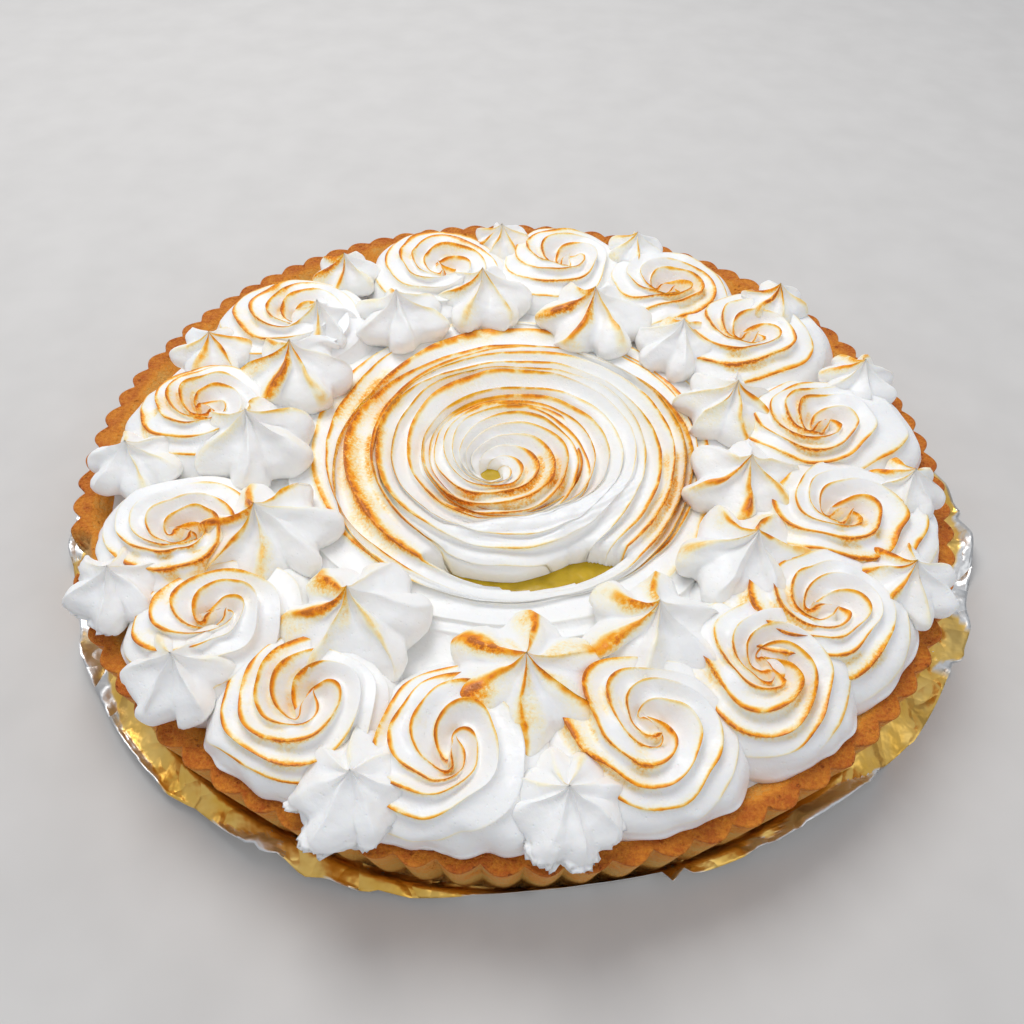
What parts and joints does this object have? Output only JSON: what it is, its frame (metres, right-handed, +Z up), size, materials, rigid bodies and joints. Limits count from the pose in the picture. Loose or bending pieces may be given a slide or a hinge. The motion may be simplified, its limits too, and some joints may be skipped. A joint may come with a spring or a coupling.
{
  "type": "lemon meringue pie",
  "caption": "Round fluted shortcrust tart filled with lemon curd and topped with a torched meringue spiral, piped rosettes and star kisses, on a gold foil.",
  "frame": {"origin": "on the flat underside of the foil, on the vertical axis through the centre of the pastry case", "axes": "+Z up; -Y towards the front, where the piping comes closest to the rim; +X to the right seen from the front"},
  "size_m": [0.309, 0.28, 0.0469],
  "materials": {
    "shortcrust": "baked golden brown, matt and finely pitted",
    "curd": "set lemon curd, smooth and glossy",
    "meringue": "satin white meringue, ridges torched amber to brown",
    "gold_foil": "gold-coloured foil, creased, bare silver underneath"
  },
  "bodies": {
    "root": {"foil_liner": "gold_foil", "pastry_case": "shortcrust", "lemon_curd": "curd", "centre_spiral": "meringue", "rosette_01": "meringue", "rosette_02": "meringue", "rosette_03": "meringue", "rosette_04": "meringue", "rosette_05": "meringue", "rosette_06": "meringue", "rosette_07": "meringue", "rosette_08": "meringue", "rosette_09": "meringue", "rosette_10": "meringue", "rosette_11": "meringue", "rosette_12": "meringue", "rosette_13": "meringue", "rosette_14": "meringue", "rosette_15": "meringue", "kiss_inner_01": "meringue", "kiss_inner_02": "meringue", "kiss_inner_03": "meringue", "kiss_inner_04": "meringue", "kiss_inner_05": "meringue", "kiss_inner_06": "meringue", "kiss_inner_07": "meringue", "kiss_inner_08": "meringue", "kiss_inner_09": "meringue", "kiss_inner_10": "meringue", "kiss_inner_11": "meringue", "kiss_inner_12": "meringue", "kiss_inner_13": "meringue", "kiss_inner_14": "meringue", "kiss_outer_01": "meringue", "kiss_outer_02": "meringue", "kiss_outer_03": "meringue", "kiss_outer_04": "meringue", "kiss_outer_05": "meringue", "kiss_outer_06": "meringue", "kiss_outer_07": "meringue", "kiss_outer_08": "meringue", "kiss_outer_09": "meringue", "kiss_outer_10": "meringue", "kiss_outer_11": "meringue", "kiss_outer_12": "meringue", "kiss_outer_13": "meringue"}
  },
  "joints": []
}
